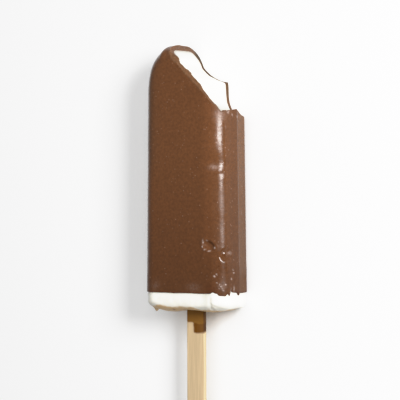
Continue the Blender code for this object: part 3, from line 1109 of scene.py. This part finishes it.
class BAR_OT_ice_cream(bpy.types.Operator):
    """Make the ice cream, with its bitten face and its bare, lumpy end"""

    bl_idname = "bar.ice_cream"
    bl_label = "Make ice cream"

    def execute(self, context):
        everything = context.scene.ice_cream_bar
        coating = context.scene.objects["chocolate_skin"]
        settings = everything.core
        end_bulge = 1.9 * MM
        low_y = CORE_END_Y + 2.3 * MM
        side_length = TIP_Y - TIP_HEIGHT - low_y
        spacing = Spacing(
            side=graded(0.0, 1.0, (0.0, 0.11), 0.30 * MM / side_length, 2.0 * MM / side_length, 0.15),
            shoulder=14,
            across=np.linspace(0.0, 1.0, 90),
            rim=16,
            wall=22,
            back_rim=16,
        )
        mesh = hollow_body(
            "vanilla_core",
            everything.coating,
            spacing,
            low_y,
            0.03 * MM,
            corner=2.2 * MM,
            end_depth=6.0 * MM,
            end_rise=2.7 * MM,
            bulge=end_bulge,
        )
        plain = mesh_points(mesh)
        bare = smooth_step(COATING_END_Y + 0.5 * MM, COATING_END_Y - 2.0 * MM, plain[:, 1])
        way, down = around(plain), TIP_Y - plain[:, 1]
        lumps = settings.lumps * noise_at(plain, 6.0 * MM, 41)
        lumps += 0.30 * settings.lumps * noise_at(plain, 2.2 * MM, 42)
        lumps -= 0.34 * MM * swell(way - 14.9 * MM, 0.9 * MM)
        lumps += 0.16 * MM * smooth_step(15.2 * MM, 17.0 * MM, way)
        lumps += sunk(way, down, (16.8 * MM, 111.6 * MM), (1.5 * MM, 0.35 * MM), 0.35, 0.30 * MM)
        points = plain + mesh_normals(mesh) * (lumps * bare)[:, None]
        at_end = smooth_step(low_y + 1.6 * MM, low_y - 0.6 * MM, plain[:, 1])
        pucker = swell(plain[:, 0], 5.6 * MM) * swell(plain[:, 2] - 13 * MM, 6.5 * MM)
        points[:, 1] += (1.5 * MM * pucker + 0.5 * MM * swell(plain[:, 0] - 8.0 * MM, 8.0 * MM)) * at_end
        hanging = swell(plain[:, 0] + 18.4 * MM, 1.0 * MM) * swell(plain[:, 2] - 15.5 * MM, 1.3 * MM)
        points[:, 1] -= 1.9 * MM * hanging * smooth_step(low_y + 3.0 * MM, low_y + 1.0 * MM, plain[:, 1])
        move_points(mesh, points)
        obj = new_object("vanilla_core", mesh)
        cut_away(obj, bite_cutter("bitten", everything.bite, for_coating=False))
        obj.data.materials.append(ice_cream_material(settings))
        points = mesh_points(obj.data)
        # painted shade beneath the bare end, with a ragged top edge
        ragged = 0.7 * MM * noise_at(points, 3.5 * MM, 44) + 0.25 * MM * noise_at(points, 1.1 * MM, 45)
        border = CORE_END_Y + 2.5 * MM - 1.0 * MM * smooth_step(3 * MM, 10 * MM, points[:, 0])
        soft = smooth_step(border + 0.45 * MM, border - 0.35 * MM, points[:, 1] + ragged)
        paint(obj.data, "underside_shade", 0.95 * soft)
        tree = KDTree(len(coating.data.vertices))
        for i, vertex in enumerate(coating.data.vertices):
            tree.insert(vertex.co, i)
        tree.balance()
        gaps = np.array([tree.find(vertex.co)[2] for vertex in obj.data.vertices])
        # painted shade on the bitten face: beside the coating and towards both ends of the bite
        at_bite = smooth_step(COATING_END_Y + 10.0 * MM, COATING_END_Y + 20.0 * MM, points[:, 1])
        down = TIP_Y - points[:, 1]
        soft_ends = smooth_step(11.0 * MM, 4.0 * MM, down) + smooth_step(22.0 * MM, 27.0 * MM, down)
        near = 0.60 * swell(gaps, 0.55 * MM) + 0.35 * soft_ends * swell(gaps, 1.3 * MM)
        near += 0.35 * smooth_step(8.0 * MM, 2.5 * MM, down) + 0.55 * smooth_step(25.5 * MM, 28.6 * MM, down)
        way = around(points)
        # painted shade on the bare end: a band near the right corner, the left side, the low end, and beside the
        # coating
        end_shade = 0.20 * swell(way - 13.0 * MM, 2.0 * MM) + 0.20 * smooth_step(-15.0 * MM, -20.0 * MM, way)
        end_shade += 0.24 * smooth_step(low_y + 2.6 * MM, low_y + 0.6 * MM, points[:, 1]) + 0.12 * swell(gaps, 0.7 * MM)
        paint(obj.data, "painted_edge_shade", at_bite * np.clip(near, 0.0, 0.9) + (1.0 - at_bite) * end_shade)
        speck = swell(points[:, 0] + 5.5 * MM, 0.6 * MM) * swell(points[:, 2] - 19.6 * MM, 0.7 * MM)
        paint(obj.data, "speck", speck * (points[:, 1] < low_y + 1.0 * MM))
        shade(obj, 45)
        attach(obj, "root")
        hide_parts("ice_cream")
        return {"FINISHED"}


# ---------------------------------------------------------------- the stick


class BAR_OT_stick(bpy.types.Operator):
    """Make the wooden stick, with round ends, worn edges and the bar's shadow painted on its neck"""

    bl_idname = "bar.stick"
    bl_label = "Make stick"

    def execute(self, context):
        settings = context.scene.ice_cream_bar.stick
        low, high = Vector(STICK_BOX[0]), Vector(STICK_BOX[1])
        radius = (high.x - low.x) / 2
        thickness = high.z - low.z
        edge = 0.35 * MM
        straight = np.linspace(low.y + radius, high.y - radius, 180)
        turns = np.linspace(0.0, math.pi, 33)
        rounds = [0.0, 0.12, 0.3, 0.55, 0.8, 1.0]
        rings = []
        for side in (1.0, -1.0):
            shares = rounds if side > 0 else rounds[::-1]
            for share in shares:
                angle = share * math.pi / 2
                inner = radius - edge + edge * math.sin(angle)
                z = (low.z + high.z) / 2 + side * (thickness / 2 - edge + edge * math.cos(angle))
                right = np.stack([np.full(len(straight), inner), straight], axis=1)
                top = np.stack([inner * np.cos(turns), high.y - radius + inner * np.sin(turns)], axis=1)
                low_end = np.stack([-inner * np.cos(turns), low.y + radius - inner * np.sin(turns)], axis=1)
                flat = np.concatenate([right[:-1], top, (right * (-1.0, 1.0))[::-1][1:-1], low_end[:-1]])
                rings.append(np.column_stack([flat, np.full(len(flat), z)]))
        count = len(rings[0])
        index = np.arange(len(rings) * count).reshape(len(rings), count)
        looped = np.concatenate([index, index[:, :1]], axis=1)
        points = np.concatenate(rings)
        mesh = make_mesh(
            "wooden_stick", points, grid_faces(looped)[:, ::-1], caps=[index[0].tolist(), index[-1, ::-1].tolist()]
        )
        obj = new_object("wooden_stick", mesh)
        obj.data.materials.append(wood_material(settings))
        shade(obj, 40)
        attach(obj, "root")
        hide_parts("stick")
        return {"FINISHED"}


# ---------------------------------------------------------------- the studio

TONES = ((0.1, 0.1), (0.3, 0.31), (0.5, 0.55), (0.7, 0.78), (0.9, 0.915), (1.2, 0.97), (1.8, 0.995))


def studio_axes(turn):
    """The view's right, up and back directions: turned from the front towards the right side."""
    right = Vector((math.cos(turn), 0.0, -math.sin(turn)))
    up = Vector((0.0, 1.0, 0.0))
    back = Vector((math.sin(turn), 0.0, math.cos(turn)))
    return right, up, back


def soft_box(name, target, direction, distance, size, energy, glints=True):
    light = bpy.data.lights.new(name, "AREA")
    light.shape = "RECTANGLE"
    light.size, light.size_y = size
    light.energy = energy
    obj = bpy.data.objects.new(name, light)
    obj.visible_glossy = glints
    bpy.context.scene.collection.objects.link(obj)
    way = direction.normalized()
    across = Vector((0.0, 1.0, 0.0)).cross(way).normalized()
    upward = way.cross(across)
    turned = Matrix((across, upward, way)).transposed().to_4x4()
    obj.matrix_world = Matrix.Translation(target + way * distance) @ turned
    return obj


def film_tones(scene):
    """Gives tones a film's response: straight in the shadows, a little lighter in the middle tones, and softly rolled
    off at the top.
    """
    scene.view_settings.use_curve_mapping = True
    mapping = scene.view_settings.curve_mapping
    brightest = 3.0
    mapping.white_level = (brightest, brightest, brightest)
    curve = mapping.curves[3]
    curve.points[0].location = (0.0, 0.0)
    curve.points[1].location = (1.0, 1.0)
    for tone_in, tone_out in TONES:
        curve.points.new(tone_in / brightest, tone_out)
    mapping.update()


class BAR_OT_studio(bpy.types.Operator):
    """Make the pale floor, the soft lights and the camera"""

    bl_idname = "bar.studio"
    bl_label = "Make studio"

    def execute(self, context):
        settings = context.scene.ice_cream_bar.studio
        scene = context.scene
        right, up, back = studio_axes(settings.turn)
        middle = Vector((0.0, 0.0, THICKNESS / 2))

        side = 4.0
        corners = np.array([(-side, -side, 0.0), (side, -side, 0.0), (side, side, 0.0), (-side, side, 0.0)])
        floor = new_object("floor", make_mesh("floor", corners, np.array([[0, 1, 2, 3]])))
        shader = Shader("pale_floor")
        shade_of = tuple(settings.floor_colour)
        shader.colour(shader.mix(shader.noise(3.0), tone(shade_of, 0.99), shade_of))
        shader.surface.inputs["Roughness"].default_value = 0.85
        shader.surface.inputs["Specular IOR Level"].default_value = 0.1
        floor.data.materials.append(shader.material)

        def direction(aside, rise):
            aside, rise = math.radians(aside), math.radians(rise)
            return (right * math.sin(aside) + back * math.cos(aside)) * math.cos(rise) + up * math.sin(rise)

        soft_box("key_light", middle, direction(21.5, 14.2), 0.6, (0.16, 0.205), settings.key_energy)
        soft_box("fill_light", middle, direction(-20.0, 15.0), 0.9, (0.8, 0.8), settings.fill_energy, glints=False)

        world = bpy.data.worlds.new("room")
        world.use_nodes = True
        world.node_tree.nodes["Background"].inputs["Color"].default_value = (1.0, 1.0, 1.0, 1.0)
        world.node_tree.nodes["Background"].inputs["Strength"].default_value = settings.room_light
        scene.world = world

        camera = bpy.data.cameras.new("camera")
        camera.sensor_width = 36.0
        view_width = 172.0 * MM
        camera.lens = camera.sensor_width * settings.distance / view_width
        camera.clip_start = 0.01
        camera.clip_end = 20.0
        camera.dof.use_dof = False
        camera_obj = bpy.data.objects.new("camera", camera)
        scene.collection.objects.link(camera_obj)
        aim = middle + right * 1.62 * MM + up * (TIP_Y - 66.95 * MM)
        lean = math.radians(0.2)
        level = right * math.cos(lean) - up * math.sin(lean)
        upright = up * math.cos(lean) + right * math.sin(lean)
        turned = Matrix((level, upright, back)).transposed().to_4x4()
        camera_obj.matrix_world = Matrix.Translation(aim + back * settings.distance) @ turned
        scene.camera = camera_obj
        scene.view_settings.view_transform = "Standard"
        film_tones(scene)
        return {"FINISHED"}


class BAR_PT_panel(bpy.types.Panel):
    """The bar's settings and steps"""

    bl_idname = "BAR_PT_panel"
    bl_label = "Ice Cream Bar"
    bl_space_type = "VIEW_3D"
    bl_region_type = "UI"
    bl_category = "Ice Cream Bar"

    def draw(self, context):
        settings = context.scene.ice_cream_bar
        for part, group, operator in (
            ("Coating", settings.coating, BAR_OT_coating.bl_idname),
            ("Bite", settings.bite, None),
            ("Ice cream", settings.core, BAR_OT_ice_cream.bl_idname),
            ("Stick", settings.stick, BAR_OT_stick.bl_idname),
            ("Studio", settings.studio, BAR_OT_studio.bl_idname),
        ):
            box = self.layout.box()
            box.label(text=part)
            for name in group.__annotations__:
                box.prop(group, name)
            if operator:
                box.operator(operator)


CLASSES = (
    CoatingSettings,
    BiteSettings,
    CoreSettings,
    StickSettings,
    StudioSettings,
    BarSettings,
    BAR_OT_coating,
    BAR_OT_ice_cream,
    BAR_OT_stick,
    BAR_OT_studio,
    BAR_PT_panel,
)


def register():
    for cls in CLASSES:
        bpy.utils.register_class(cls)
    bpy.types.Scene.ice_cream_bar = PointerProperty(type=BarSettings)


def unregister():
    del bpy.types.Scene.ice_cream_bar
    for cls in reversed(CLASSES):
        bpy.utils.unregister_class(cls)


def main():
    register()
    bpy.ops.bar.studio()
    bpy.ops.bar.coating()
    bpy.ops.bar.ice_cream()
    bpy.ops.bar.stick()


if __name__ == "__main__":
    main()
